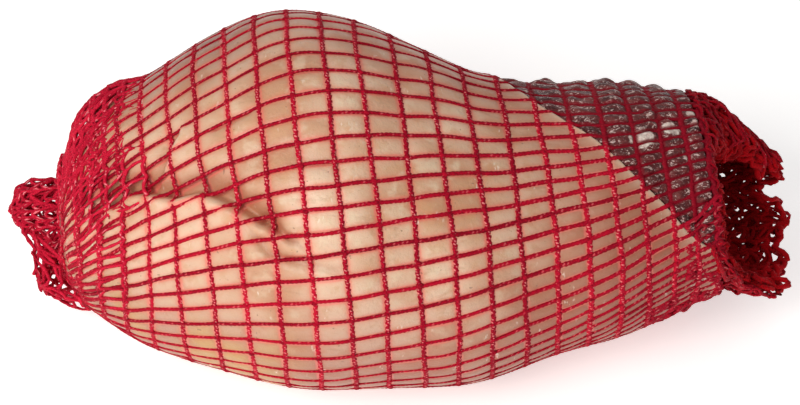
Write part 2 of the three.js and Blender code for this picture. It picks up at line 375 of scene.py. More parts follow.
class Finish:
    """A material, and the short words that build its nodes."""

    def __init__(self, name):
        self.material = bpy.data.materials.new(name)
        self.material.use_nodes = True
        self.tree = self.material.node_tree
        self.shader = self.tree.nodes["Principled BSDF"]

    def node(self, kind, settings=None, sockets=None, output=0):
        """Any node: its settings first, then the values or links of its sockets."""
        made = self.tree.nodes.new(kind)
        for key, setting in (settings or {}).items():
            setattr(made, key, setting)
        for key, value in (sockets or {}).items():
            self.put(made.inputs[key], value)
        return Value(self, made.outputs[output])

    def put(self, socket, value):
        if isinstance(value, Value):
            self.tree.links.new(value.socket, socket)
        elif socket.type == "RGBA":
            socket.default_value = (*value, 1)
        else:
            socket.default_value = value

    def number(self, name):
        """A number that rides on the mesh."""
        return self.node("ShaderNodeAttribute", {"attribute_name": name}, output="Fac")

    def noise(self, size_mm, detail=3.0, roughness=0.5, stretch=(1, 1, 1), distortion=0.0):
        """Noise with features of about this size on the hock, from 0 to 1."""
        place = self.node("ShaderNodeTexCoord", output="Object")
        scaled = self.node(
            "ShaderNodeVectorMath", {"operation": "MULTIPLY"}, {0: place, 1: stretch})
        return self.node("ShaderNodeTexNoise", {}, {
            "Vector": scaled, "Scale": 1 / (size_mm * MM), "Detail": detail,
            "Roughness": roughness, "Distortion": distortion}, output="Fac")

    def ramp(self, value, *stops):
        """Colours that run into each other as the value grows."""
        made = self.node("ShaderNodeValToRGB", {}, {"Fac": value}, output="Color")
        elements = made.socket.node.color_ramp.elements
        while len(elements) < len(stops):
            elements.new(0.5)
        for element, (place, colour) in zip(elements, stops):
            element.position = place
            element.color = (*colour, 1)
        return made

    def between(self, value, low, high):
        """0 below low, 1 above high, smooth between."""
        return self.node("ShaderNodeMapRange", {"interpolation_type": "SMOOTHSTEP"}, {
            "Value": value, "From Min": low, "From Max": high})

    def mix(self, factor, first, second, blend="MIX"):
        """One colour over another."""
        return self.node("ShaderNodeMix", {"data_type": "RGBA", "blend_type": blend}, {
            0: factor, 6: first, 7: second}, output=2)

    def layers(self, colour, *layers):
        """Screen colours over one another, each laid on as far as its factor says."""
        for factor, screen in layers:
            colour = self.mix(factor, colour, screen_colour(*screen))
        return colour

    def bump(self, height, depth_mm, strength):
        return self.node("ShaderNodeBump", {}, {
            "Height": height, "Distance": depth_mm * MM, "Strength": strength})

    def wear(self, **sockets):
        """Sets the sockets of the surface shader, and gives back the material."""
        for key, value in sockets.items():
            self.put(self.shader.inputs[key.replace("_", " ")], value)
        return self.material


def screen_colour(red, green, blue):
    """A colour as read off a screen, 0 to 255, in the linear values that shaders use."""
    shares = [c / 255 for c in (red, green, blue)]
    return tuple(c / 12.92 if c <= 0.04045 else ((c + 0.055) / 1.055) ** 2.4 for c in shares)


# %% [markdown]
# ## The rind
#
# Pig rind is pale and a little see-through, moist but not shiny. The net presses into it, so
# every cell is a small pillow, and beside the foot end the loose skin has folded over itself.
# Both are real relief in the mesh, because they turn with the light and the outline; pores
# and fine creases are left to the material.
#
# Each fold is a line on the skin with two sides: on the gentle side the skin slopes into it,
# and on the steep side it climbs out again over a raised lip.

# %% Folds and the hollow
def hump(distance):
    """1 in the middle, and falling off smoothly on both sides."""
    return np.exp(-(distance**2))


FOLD_SHARPNESS = 1.6
LIP_FROM, LIP_WIDTH = 2.4, 1.6  # in steep widths
# each fold: depth, gentle width above, steep width below, lip, points of x and turn
FOLDS = [
    (3.9, 5.2, 1.0, 0.9, [(-83, 36), (-80, 32), (-77, 29.5), (-72, 30), (-64, 34), (-56, 33.5),
                          (-51, 36.5), (-46, 40), (-40, 45)]),
    (1.3, 2.4, 0.8, 0.5, [(-40, 45), (-37, 47), (-32, 50)]),
    (1.2, 2.6, 1.1, 0.2, [(-45, 44), (-42, 50), (-39, 54.5), (-31, 56.5), (-20, 57)]),
    (1.3, 2.6, 0.9, 0.5, [(-67.5, 25), (-65.5, 20.5), (-64, 16), (-61, 12)]),
    (0.6, 2.4, 1.1, 0.2, [(-50, 14.5), (-45, 13.5), (-40, 12)]),
    (0.9, 6.0, 4.0, 0.0, [(-48, 33), (-40, 27), (-30, 25), (-18, 27)]),
]


def fold_relief(x, turn):
    """Height of the folds over the plain skin, in millimetres."""
    per_degree = np.radians(along_hock(HALF_WIDTH, x))
    height = np.zeros(np.broadcast(x, turn).shape)
    for depth, gentle, steep, lip, points in FOLDS:
        nearest = np.full(height.shape, np.inf)
        signed = np.zeros(height.shape)
        for (x0, turn0), (x1, turn1) in zip(points, points[1:]):
            dx, dt = x1 - x0, (turn1 - turn0) * per_degree
            px, pt = x - x0, (turn - turn0) * per_degree
            share = np.clip((px * dx + pt * dt) / (dx * dx + dt * dt), 0, 1)
            away = np.hypot(px - share * dx, pt - share * dt)
            side = np.sign(pt * dx - px * dt)
            closer = away < nearest
            nearest = np.where(closer, away, nearest)
            signed = np.where(closer, side * away, signed)
        width = np.where(signed > 0, steep, gentle)
        height -= depth * np.exp(-((nearest / width) ** FOLD_SHARPNESS))
        from_lip = (signed - LIP_FROM * steep) / (LIP_WIDTH * steep)
        height += lip * hump(from_lip) * (signed > 0)
    return height


# where the upper side of the foot end falls in: depth, x, half length, turn, half turn
HOLLOW = (3.0, -93, 9, -45, 38)


def hollow_relief(x, turn):
    """Height of the hollow over the plain skin, in millimetres."""
    depth, middle_x, half_length, middle_turn, half_turn = HOLLOW
    along, around = (x - middle_x) / half_length, (turn - middle_turn) / half_turn
    return -depth * np.exp(-(along ** 2) - around ** 2)


# %% The slanting cut
CUT_MIDDLE, CUT_REACH, CUT_TURN = 64, 34, -68
# where the cut strays from an even slant: millimetres lengthwise, turn, half turn
CUT_SWAYS = [(2.0, 5, 16), (-3.4, 58, 16)]


def cut_x(turn):
    """Where the rind stops, going round."""
    even = CUT_MIDDLE - CUT_REACH * np.cos(np.radians(turn - CUT_TURN))
    return even + sum(sway * hump((turn - at) / half) for sway, at, half in CUT_SWAYS)


def facing(turn):
    """The same turn, counted from -180 to 180."""
    return (turn + 180) % 360 - 180


# %% Where the cords press
CORD_PHASE = 3.4  # degrees from the top to the first lengthwise cord
CELL_TURN = 360 / LENGTHWISE_CORDS


def rise_between(low, high, x):
    """0 below low, 1 above high, smooth between."""
    t = np.clip((np.asarray(x, float) - low) / (high - low), 0, 1)
    return t * t * (3 - 2 * t)


# how far the lengthwise lines crowd, in degrees, towards which line, and from where to where
SHOWN_CROWD, SHOWN_SHIFT, SHOWN_LINE, SHOWN_SPREAD = 3.3, 1.3, 30, 22
CUT_CROWD, CUT_LINE, CUT_CROWD_X = 11, 52, (35, 75)
LOW_CROWD, LOW_LINE, LOW_SPREAD, LOW_CROWD_X = 13, 148, 33, (20, 70)
FOOT_CROWD, FOOT_LINE, FOOT_CROWD_X = 4, 25, (20, 60)


def net_turn(line, x):
    """Degrees round for a lengthwise line of the net: lines wind, and crowd on the shown side."""
    line, to_foot = np.asarray(line, float), -np.asarray(x)
    shown = SHOWN_SHIFT - SHOWN_CROWD * np.tanh((line - SHOWN_LINE) / SHOWN_SPREAD)
    shown = shown * np.cos(np.radians(line - SHOWN_LINE) / 2) ** 2
    cut = CUT_CROWD * rise_between(*CUT_CROWD_X, x) * np.sin(np.radians(line - CUT_LINE))
    low = LOW_CROWD * rise_between(*LOW_CROWD_X, x) * hump(facing(line - LOW_LINE) / LOW_SPREAD)
    foot = FOOT_CROWD * rise_between(*FOOT_CROWD_X, to_foot) * np.sin(np.radians(line - FOOT_LINE))
    return facing(line + shown - cut - low - foot + along_hock(WOUND, x))


DRIFT, FOOT_DRIFT, FOOT_DRIFT_X = 0.8, 3.2, (52, 78)
DRIFT_AHEAD = 1  # a cord's drift is the one of its even place, which is about this far on
PILLOW_POWER = 0.4
SWELL, SWELL_LENGTH = 0.45, 38


def cord_drift(turn, x):
    """How far a round cord strays lengthwise from its even lean, in millimetres."""
    down = np.sin(np.radians(turn - FACE_TURN))
    at_foot = FOOT_DRIFT * rise_between(*FOOT_DRIFT_X, -np.asarray(x))
    return -DRIFT * down - at_foot * np.maximum(down, 0)


def undrifted(x, turn):
    """Where a point on the skin would lie if the round cords had no drift."""
    return x - cord_drift(turn, x + DRIFT_AHEAD)


def pillow(x, turn, line):
    """0 under a cord, 1 in the middle of a cell; line is the lengthwise line of the net."""
    lengthwise = np.abs(np.sin(np.pi * round_cord_number(undrifted(x, turn))))
    around = np.abs(np.sin(np.pi * (line - CORD_PHASE) / CELL_TURN))
    return (lengthwise * around) ** PILLOW_POWER


def cord_distance(x, turn, line):
    """Millimetres along the skin to the nearest cord."""
    x = undrifted(x, turn)
    to_round = np.abs(x - round_cord_x(np.round(round_cord_number(x))))
    cells = (line - CORD_PHASE) / CELL_TURN
    to_lengthwise = np.abs(cells - np.round(cells)) * np.radians(CELL_TURN)
    return np.minimum(to_round, to_lengthwise * along_hock(HALF_WIDTH, x))


def unevenness(places):
    """The slow swells of real flesh; the net follows them."""
    return SWELL * ripple(places, SWELL_LENGTH, 3)


# %% Where the points of the skin lie
# shares of a cell: closer together beside a cord, where the skin turns steeply
FINE_SHARES = [0, 0.07, 0.16, 0.28, 0.42, 0.58, 0.72, 0.84, 0.93]
COARSE_SHARES = [0, 0.12, 0.35, 0.65, 0.88]
SHOWN_FROM, SHOWN_TO = -85, 165  # degrees, before the winding
CORD_LINES = (np.arange(LENGTHWISE_CORDS) - LENGTHWISE_CORDS / 2) * CELL_TURN + CORD_PHASE
RIND_LAST_X = 88.5
END_ROUNDS = 8  # the end depends on the winding there, so it is found in rounds
lines = np.array([[
    start + share * CELL_TURN for start in CORD_LINES
    for share in (FINE_SHARES if SHOWN_FROM <= start < SHOWN_TO else COARSE_SHARES)]])
rind_end = np.full(lines.shape, float(CUT_MIDDLE))
for _ in range(END_ROUNDS):
    rind_end = (rind_end + np.minimum(cut_x(net_turn(lines, rind_end)), RIND_LAST_X)) / 2
print("lines of points:", lines.size)
print("the rind ends from x", rind_end.min().round(), "to", rind_end.max().round())

# %% Rind mesh
PILLOW_HEIGHT, PILLOW_UNEVEN = 0.62, 0.16
RIND_THICKNESS = 1.8
EDGE_RISE, EDGE_RISE_LENGTH = 0.4, 3.0  # the rind lifts a little towards the cut
EDGE_BULGE, EDGE_TUCK = 0.5, 1.2  # the cut edge bulges, and tucks in under itself
CAP_BULGE = 1.5
SKIN_ROWS, UNDER_ROWS, CAP_ROWS = 235, 5, 6
CLOSER_TO_FOOT = 1.1  # above 1, the rows of points lie closer together at the foot
FOOT_X = STATIONS[0, 0]
DEEPEST_FOLD = 4
GLOW_REACH, EDGE_REACH = 1.45, 1.5  # beside a cord, and beside the cut
EDGE_ALONG = 60  # the cut edge is coloured as the rind is at this x

share = np.linspace(0, 1, SKIN_ROWS)[:, None] ** CLOSER_TO_FOOT
x = FOOT_X + (rind_end - FOOT_X) * share
turn = net_turn(lines, x)
places, normals = on_section(x, turn), outward(x, turn)
folds = fold_relief(x, turn)
cell = pillow(x, turn, lines)
edge_distance = rind_end - x
height = folds + hollow_relief(x, turn) + PILLOW_HEIGHT * cell + unevenness(places)
height += PILLOW_UNEVEN * cell * ripple(places, 11, 4)
height += EDGE_RISE * hump(edge_distance / EDGE_RISE_LENGTH)
skin = places + normals * height[..., None]

rounding = np.linspace(0.15, 1, UNDER_ROWS)[:, None]
under = skin[-1] - normals[-1] * (RIND_THICKNESS * rounding)[..., None]
under[..., 0] += EDGE_BULGE * np.sin(np.pi * rounding) - EDGE_TUCK * (rounding == 1)
cap_scale = np.linspace(0.03, 0.93, CAP_ROWS)[:, None]
cap = on_section(FOOT_X - CAP_BULGE * (1 - cap_scale**2), turn[:1] + 0 * cap_scale, 0, cap_scale)


def down_rows(skin_values, cap_value, under_value):
    """One number for each point of the rind: the cap, the skin, then the cut edge."""
    width = skin_values.shape[1]
    return np.concatenate([np.full((CAP_ROWS, width), cap_value), skin_values,
                           np.full((UNDER_ROWS, width), under_value)])


rind = Bundle()
rind.add(
    np.concatenate([cap, skin, under]),
    fold=down_rows(np.clip(-folds / DEEPEST_FOLD, 0, 1), 0, 0),
    beside=down_rows(hump(cord_distance(x, turn, lines) / GLOW_REACH), 0, 0),
    edge=down_rows(np.exp(-edge_distance / EDGE_REACH), 0, 1),
    along=down_rows(x, FOOT_X, EDGE_ALONG),
    around=down_rows(turn, FACE_TURN, FACE_TURN),
)

# %% [markdown]
# The rind's colour is cream in the middle and browner towards the top, the underside and the
# cut end, partly its own tone and partly painted shade where the light falls off; a yellow
# patch lies low on the foot side. Beside every cord a painted pink glow stands for the red
# light that the yarn throws on the skin. The folds get painted shade, small painted highlights
# stand for the moist shine, and the very foot end is painted dark as the shaded net over it.
# Each is a soft mask with a colour, and most are placed by how far along and how far round
# the hock they lie.

# %% Rind finish
RED_CAST = (1.06, 0.59, 0.55)  # what the yarn's light does to the skin's own colour


def rind_finish():
    skin = Finish("pale_rind")
    soft, noise, number = skin.between, skin.noise, skin.number
    along, around = number("along"), number("around")
    fold, beside, edge = number("fold"), number("beside"), number("edge")
    broad, blotch, pale = noise(24, 2), noise(6.5, 4, 0.6), noise(7.5, 3)
    smears = noise(5, 4, 0.6, (0.3, 1.2, 1.2), 0.5)
    to_top = soft(around, 10, -45)
    over_foot = 1 - soft(along, -54, -20)
    left = 1 - soft(along, -60, -12)
    to_cut = soft(along, 0, 80) * soft(around, 20, 105)
    low_patch = (1 - soft(along, -50, -25)) * soft(around, 60, 95)
    # the foot end's last sliver, painted as the shaded net over it
    in_net = 1 - soft(along, -101.5, -98.5)
    # painted highlights: small streaks of the moist skin's shine
    painted_shine = soft(noise(1.5, 3, 0.6, (0.9, 0.35, 0.35)), 0.62, 0.7)
    cream, tan = screen_colour(229, 196, 168), screen_colour(200, 150, 116)
    colour = skin.layers(
        skin.mix(soft(broad, 0.38, 0.66), cream, tan),
        (soft(blotch, 0.5, 0.68) * 0.5, (206, 156, 112)),
        (soft(pale, 0.54, 0.68) * 0.6, (228, 206, 176)),
        (soft(smears, 0.56, 0.72) * 0.4, (178, 134, 98)),
        # darker towards the top, most of all over the foot: partly the rind's own browner tone,
        # partly painted shade where the light falls off
        (to_top * (0.7 + 0.2 * over_foot), (180, 112, 90)),
        (to_top * over_foot * 0.95, (118, 66, 54)),
        (left * 0.3, (204, 158, 128)),
        # darker towards the cut end and the underside: partly the rind's own browner tone, partly
        # painted shade where the light falls off
        (soft(along, 14, 60) * 0.82, (154, 92, 66)),
        (to_cut * 0.85, (152, 84, 66)),
        (soft(around, 46, 108) * 0.8, (150, 84, 62)),
        (low_patch * soft(broad, 0.3, 0.56) * 0.9, (192, 148, 90)),
        # painted shade in the folds, deeper where the fold is deeper
        (soft(fold, 0.03, 0.6) * 0.75, (178, 112, 80)))
    colour = skin.layers(
        # painted light: the yarn's red light on the skin, as a red cast and a pink glow beside
        # each cord
        skin.mix(beside * 0.9, colour, RED_CAST, "MULTIPLY"),
        (soft(beside, 0.46, 0.82) * 0.62, (232, 116, 104)),
        (edge * 0.6, (234, 208, 182)),
        # painted shade: the last sliver at the foot end is painted dark crimson, as the shaded net
        # over it
        (in_net * 0.9, (116, 6, 24)),
        (soft(noise(0.9, 2), 0.68, 0.78) * 0.35, (150, 105, 80)),  # pores
        (soft(noise(1.3, 1), 0.745, 0.79) * 0.55, (120, 84, 60)),  # flecks
        # painted highlights of moist shine
        (painted_shine * soft(blotch, 0.52, 0.66) * 0.5, (250, 240, 226)))
    fine = noise(1.6, 5, 0.65) + 0.9 * noise(5, 3, 0.5, (0.5, 1.4, 1.4))
    return skin.wear(
        Base_Color=colour,
        Roughness=0.30 + 0.22 * blotch,
        Subsurface_Weight=0.12,
        Subsurface_Radius=(0.0035, 0.0016, 0.0009),
        Subsurface_Scale=1.0,
        Coat_Weight=0.06 * broad,
        Coat_Roughness=0.3,
        Normal=skin.bump(fine, 0.34, 0.8),
    )


rind.make("rind", rind_finish(), "rind", "hock_in_net")

# %% [markdown]
# ## The bare meat
#
# Past the slanting cut lies cured muscle: dark, wet and soft, so it bulges out of the net's
# cells more than the rind does. It is a second, lower surface that tucks under the rind's
# edge, and its rounded end closes the hock.

# %% Meat mesh
MEAT_ROWS, MEAT_CAP_ROWS = 100, 14
MEAT_DROP, MEAT_PILLOW = 1.2, 1.7
MEAT_LUMPS = (0.7, 12, 11), (0.5, 4.5, 12)  # height, size and seed
MEAT_TUCK, MEAT_LAST_START = 6.0, 90
COVER_PAST, COVER_LENGTH, COVER_DROP, COVER_TOP = 0.9, 2.2, 1.6, -3.2  # under the rind's edge
FACE_X, FACE_SCALE = [88, 89.2, 90.4, 91.3, 91.8], [1, 0.99, 0.93, 0.78, 0.45]
IN_CUP_FROM, IN_CUP_LENGTH, IN_CUP_DROP = 87, 2, 3.0
FACE_BULGE, FACE_LUMPS = 1.2, ((0.8, 7, 13), (0.3, 3, 14))
BARE = 3.0  # farther from any cord than its juice reaches
FAT_SPOTS = [  # x, degrees round, half length, half width, in millimetres
    (69.8, 6, 3.5, 3.1), (79, 0, 2.5, 2.0), (86.3, -12, 1.9, 1.2), (86.3, -4, 1.3, 1.0),
    (82, 16, 1.5, 1.0), (47, -11, 2.6, 0.7), (60, -70, 7.0, 3.0), (74, -100, 9.0, 3.5),
    (55, -130, 6.0, 2.0),
]
start_x = np.minimum(rind_end - MEAT_TUCK, MEAT_LAST_START)
x = start_x + (FACE_X[-1] - start_x) * np.linspace(0, 1, MEAT_ROWS)[:, None]
turn = net_turn(lines, x)
in_cup = np.clip((x - IN_CUP_FROM) / IN_CUP_LENGTH, 0, 1)
scale = np.interp(x, FACE_X, FACE_SCALE)
places, normals = on_section(x, turn, 0, scale), outward(np.minimum(x, FACE_X[0]), turn)
cell = pillow(x, turn, lines)
lumps = ripples(places, *MEAT_LUMPS)
covered = np.clip((rind_end + COVER_PAST - x) / COVER_LENGTH, 0, 1)
height = MEAT_PILLOW * cell - MEAT_DROP + unevenness(places) + cell * lumps - COVER_DROP * covered
height = height * (1 - covered) + np.minimum(height, COVER_TOP) * covered
height = height * (1 - in_cup) + (0.5 * lumps - IN_CUP_DROP) * in_cup
meat_skin = places + normals * height[..., None]

fat = np.zeros(x.shape)
per_degree = np.radians(along_hock(HALF_WIDTH, x))
for spot_x, spot_turn, half_length, half_width in FAT_SPOTS:
    away = np.hypot((x - spot_x) / half_length, (turn - spot_turn) * per_degree / half_width)
    fat = np.maximum(fat, np.clip(1.6 - away, 0, 1))

cap_share = np.linspace(0, 1, MEAT_CAP_ROWS + 1)[1:, None, None] * 0.98
cap_middle = meat_skin[-1].mean(0)
cap = meat_skin[-1] * (1 - cap_share) + cap_middle * cap_share
cap[..., 0] += FACE_BULGE * np.sin(cap_share[..., 0] * np.pi / 2)
cap[..., 0] += ripples(cap, *FACE_LUMPS) * np.sin(cap_share[..., 0] * np.pi)
to_cord = np.where(in_cup > 0.9, 0, cord_distance(x, turn, lines))
meat = Bundle()
meat.add(
    np.concatenate([meat_skin, cap]),
    fat=np.concatenate([fat, np.zeros(cap.shape[:2])]),
    beside=np.concatenate([to_cord, np.full(cap.shape[:2], BARE)]),
)


# %% Meat finish
def meat_finish():
    meat = Finish("cured_meat")
    soft, noise, number = meat.between, meat.noise, meat.number
    grain = noise(2.2, 5, 0.6, (0.35, 1, 1), 0.6)
    blotch = noise(8, 3, 0.55)
    ragged = number("fat") + 0.9 * noise(1.7, 4, 0.6) - 0.5
    streaks = soft(noise(3.0, 4, 0.6, (0.25, 1, 1), 1.2), 0.66, 0.74)
    # painted highlights: small wet glints on the meat
    painted_glints = soft(noise(1.05, 3, 0.6, (0.6, 1, 1), 1.4), 0.558, 0.615)
    soaked = 1 - soft(number("beside"), 0.45, 1.25)
    dark, wine, brown = (screen_colour(*c) for c in ((38, 6, 9), (96, 28, 30), (152, 80, 74)))
    dull, bright = screen_colour(190, 160, 152), screen_colour(240, 226, 214)
    flesh = meat.layers(
        meat.ramp(grain, (0.28, dark), (0.52, wine), (0.78, brown)),
        (soft(blotch, 0.35, 0.7) * 0.4, (120, 62, 58)))
    fatty = meat.ramp(noise(1.2, 3), (0.3, dull), (0.65, bright))
    colour = meat.layers(
        meat.mix(soft(ragged, 0.42, 0.62), flesh, fatty),
        (streaks * 0.4, (176, 140, 132)),
        # painted highlights of the wet meat
        (painted_glints * (0.2 + 0.95 * blotch), (240, 212, 204)),
        (soaked * 0.92, (128, 0, 24)))
    fine = noise(0.7, 3, 0.6, (0.6, 1, 1)) + 1.0 * grain
    return meat.wear(
        Base_Color=colour,
        Roughness=0.2 + 0.25 * blotch + 0.4 * soaked,
        Specular_IOR_Level=0.36,
        Subsurface_Weight=0.06,
        Subsurface_Radius=(0.003, 0.0008, 0.0006),
        Subsurface_Scale=1.0,
        Normal=meat.bump(fine, 0.9, 0.9),
    )


meat.make("bare_meat", meat_finish(), "meat", "hock_in_net")

# %% [markdown]
# ## The net's cords
#
# The net is knitted from elastic yarn. The cords that go round are chains of stitches: wide,
# flat, with a row of paler specks where the elastic core shows. The lengthwise cords are
# thinner twisted yarns that pass through the chains, with a small knot at each crossing.
#
# A cord is swept along its path as a small ring of points at each step. The stitches are real
# too: every second ring is thinner, so the cord's outline is beaded like the knitted one.


# %% Sweeping a cord
def sweep(path, out, half_width, half_height, sides, closed):
    """Points round each step of a path, the second one of them outermost."""
    round_ring = np.roll(path, -1, 0) - np.roll(path, 1, 0)
    ahead = unit(round_ring if closed else np.gradient(path, axis=0))
    across = unit(np.cross(ahead, out))
    out = np.cross(across, ahead)
    angles = np.pi / 2 + (np.arange(sides) - 1) * 2 * np.pi / sides
    wide = half_width[:, None, None] * np.cos(angles)[:, None]
    high = half_height[:, None, None] * np.sin(angles)[:, None]
    return path[:, None] + across[:, None] * wide + out[:, None] * high


SINK_LENGTH = 3  # past the cut a cord sinks by a millimetre over this length
FOLD_FOLLOWED = 0.5  # a cord goes half as deep as the fold it bridges
FOOT_LOOSE_X, FOOT_LOOSE_LENGTH = -70, 28
CUT_LOOSE_X, CUT_LOOSE_LENGTH, CUT_LOOSENESS = 78, 12, 0.6


def cord_path(x, turn, raised):
    """A path on the skin: it follows the swells, bridges the folds, and sinks into meat."""
    turn = facing(turn)
    places = on_section(x, turn)
    past_cut = x - cut_x(turn)
    off_rind = np.clip(past_cut / SINK_LENGTH, 0, 1)
    height = raised + unevenness(places) + FOLD_FOLLOWED * fold_relief(x, turn)
    height = height + hollow_relief(x, turn) - off_rind
    height += EDGE_RISE * hump(past_cut / EDGE_RISE_LENGTH)
    return places + outward(x, turn) * height[:, None], off_rind


def slackness(x):
    """0 where the net is stretched, up to 1 where it comes loose at either end."""
    to_foot = np.clip((FOOT_LOOSE_X - x) / FOOT_LOOSE_LENGTH, 0, 1)
    return to_foot + CUT_LOOSENESS * np.clip((x - CUT_LOOSE_X) / CUT_LOOSE_LENGTH, 0, 1)


def by_turns(steps, run=1):
    """1 and -1 by turns, each for a run of steps."""
    return np.where(np.arange(steps) // run % 2 == 0, 1, -1)


def beads(steps, dice, depth=0.11):
    """Thick and thin by turns, as a chain of stitches is."""
    return 1 + depth * by_turns(steps) + dice.normal(0, 0.04, steps)


def specks(steps, sides, dice, often):
    """1 at one of the three outer points of the middle of a stitch, where the pale core shows."""
    marks = np.zeros((steps, sides))
    stitches = np.arange(1, steps, 2)
    shown = dice.uniform(0.5, 1.1, len(stitches)) * (dice.uniform(size=len(stitches)) < often)
    marks[stitches, dice.integers(0, 3, len(stitches))] = shown
    return marks


def add_cord(bundle, dice, path, out, half_width, half_height, sides, closed, often, wet):
    """One swept cord, with its pale specks and a shade of its own."""
    bundle.add(sweep(path, out, half_width, half_height, sides, closed), closed,
               speck=specks(len(path), sides, dice, often), shade=dice.uniform(), wet=wet)


THICKER_TO_CUT, THICKER_X = 0.24, (-20, 60)  # cords that are less stretched are thicker
ON_MEAT_WIDER = 1.35
SLACK_LIFT = 0.3


def lay_cord(bundle, x, turn, slack, raised, half, depth, slack_wider, sides, often, closed):
    """One cord of the stretched net; half is its half width and its half height."""
    path, off_rind = cord_path(x, turn, raised + SLACK_LIFT * slack)
    wider = 1 + slack_wider * slack + THICKER_TO_CUT * rise_between(*THICKER_X, x)
    bead = beads(len(x), dice, depth) * wider
    bead = bead * (1 + (ON_MEAT_WIDER - THICKER_TO_CUT - 1) * off_rind)
    add_cord(bundle, dice, path, outward(x, turn), half[0] * bead, half[1] * bead,
             sides, closed, often, off_rind[:, None])


# %% Round cords
STITCH, ZIGZAG = 0.86, 0.12
MEAN_ROUND = 0.95  # the flattened section's girth as a share of a circle's
# sways of a round cord: size, more size where it is slack, how many in a round
ROUND_SWAYS = [(0.3, 0, 3), (0.18, 0.5, 11), (0, 0.5, 29)]
dice = np.random.default_rng(21)
round_cords = Bundle()
for number in range(FOOT_CORD, CUT_CORD + 1):
    x0 = round_cord_x(number)
    steps = 2 * int(2 * np.pi * along_hock(HALF_WIDTH, x0) * MEAN_ROUND / STITCH)
    turn = np.linspace(0, 360, steps, endpoint=False)
    slack = slackness(x0)
    wander = sum(
        (size + slack_size * slack) * np.sin(np.radians(turn) * count + dice.uniform(0, 6))
        for size, slack_size, count in ROUND_SWAYS)
    x = x0 + cord_drift(turn, x0) + wander + ZIGZAG * by_turns(steps, 2)
    lay_cord(round_cords, x, turn, slack, raised=0.3, half=(0.66, 0.33), depth=0.13,
             slack_wider=0.25, sides=6, often=0.9, closed=True)

# %% Lengthwise cords
TWIST_STEP = 0.62
# sways of a lengthwise cord: degrees, more degrees where it is slack, length
LENGTHWISE_SWAYS = [(0.3, 0, 9), (0.15, 1.2, 2.6)]
lengthwise_cords = Bundle()
for line in CORD_LINES:
    x = np.arange(round_cord_x(FOOT_CORD), round_cord_x(CUT_CORD) + TWIST_STEP / 2, TWIST_STEP)
    phase, slack = dice.uniform(0, 6), slackness(x)
    turn = net_turn(line, x) + sum(
        (size + slack_size * slack) * np.sin(x / length + phase)
        for size, slack_size, length in LENGTHWISE_SWAYS)
    lay_cord(lengthwise_cords, x, turn, slack, raised=0.32, half=(0.57, 0.34), depth=0.1,
             slack_wider=0.15, sides=5, often=0.6, closed=False)

# %% Knots
KNOT_HALF_LENGTH, KNOT_HALF_WIDTH, KNOT_HALF_HEIGHT = 0.88, 0.7, 0.54
KNOT_RAISED = 0.4
knots = Bundle()
latitude = np.linspace(-0.5, 0.5, 5)[:, None] * np.pi
longitude = np.arange(6)[None, :] * np.pi / 3
for number in range(FOOT_CORD, CUT_CORD + 1):
    x0 = round_cord_x(number)
    x = x0 + cord_drift(net_turn(CORD_LINES, x0), x0)
    turn = net_turn(CORD_LINES, x)
    centres, off_rind = cord_path(x, turn, KNOT_RAISED)
    out = outward(x, turn)
    ahead = unit(on_section(x + 0.5, turn) - on_section(x - 0.5, turn))
    for centre, o, a, s, wet in zip(centres, out, ahead, np.cross(out, ahead), off_rind):
        size = dice.uniform(0.85, 1.15)
        ball = (centre + a * (np.sin(latitude) * KNOT_HALF_LENGTH * size)[..., None]
                + s * (np.cos(latitude) * np.cos(longitude) * KNOT_HALF_WIDTH * size)[..., None]
                + o * (np.cos(latitude) * np.sin(longitude) * KNOT_HALF_HEIGHT * size)[..., None])
        knots.add(ball, speck=0, shade=dice.uniform(), wet=wet)


# %% [markdown]
# The yarn is crimson, matt and slightly hairy, and its stitches carry paler specks. Over the
# wet meat it has soaked up juice and gone dark. Every yarn is given by a deep and a bright
# screen colour, one for the specks, and how far those show.

# %% Yarn finish
def yarn_finish(name, deep, bright, speck, speck_share):
    yarn = Finish(name)
    speck_here, shade, wet = yarn.number("speck"), yarn.number("shade"), yarn.number("wet")
    fibres = yarn.noise(0.35, 3, 0.6)
    patches = yarn.noise(9, 2)
    colour = yarn.layers(
        screen_colour(*deep),
        (yarn.between(fibres + 0.16 * shade, 0.44, 0.72), bright),
        (yarn.between(patches, 0.4, 0.7) * 0.3, deep),
        (yarn.between(speck_here, 0.2, 0.6) * (1 - 0.8 * wet) * speck_share, speck),
        (wet * 0.75, (124, 0, 24)))
    return yarn.wear(
        Base_Color=colour,
        Roughness=0.68 + 0.2 * fibres - 0.2 * wet,
        Specular_IOR_Level=0.12,
        Sheen_Weight=0.03,
        Sheen_Roughness=0.4,
        Sheen_Tint=(1.0, 0.2, 0.25),
        Normal=yarn.bump(fibres, 0.18, 0.7),
    )


round_yarn = yarn_finish("chain_yarn", (138, 0, 28), (204, 20, 50), (246, 142, 140), 0.76)
lengthwise_yarn = yarn_finish("twisted_yarn", (128, 0, 24), (190, 8, 42), (236, 108, 112), 0.5)
round_cords.make("round_cords", round_yarn, "net", "hock_in_net")
lengthwise_cords.make("lengthwise_cords", lengthwise_yarn, "net", "hock_in_net")
knots.make("knots", lengthwise_yarn, "net", "hock_in_net")

# %% [markdown]
# ## The free ends of the net
#
# Past the hock nothing stretches the net, so its cells close up to three or four
# millimetres, the chains loop between the lengthwise cords, and the hem ruffles. One helper
# lays such a slack net on any surface, given as a function of the share of the way to the
# hem and of the turn, and another makes a piece of several.


# %% Slack net on a surface
PER_CELL = 6  # steps of a loop between two lengthwise cords
WHOLE = (0, 360)  # all the way round
HEM_THICKER, LOOSE_FLATNESS = 1.15, 0.85
WANDER_SIZE = 5.5


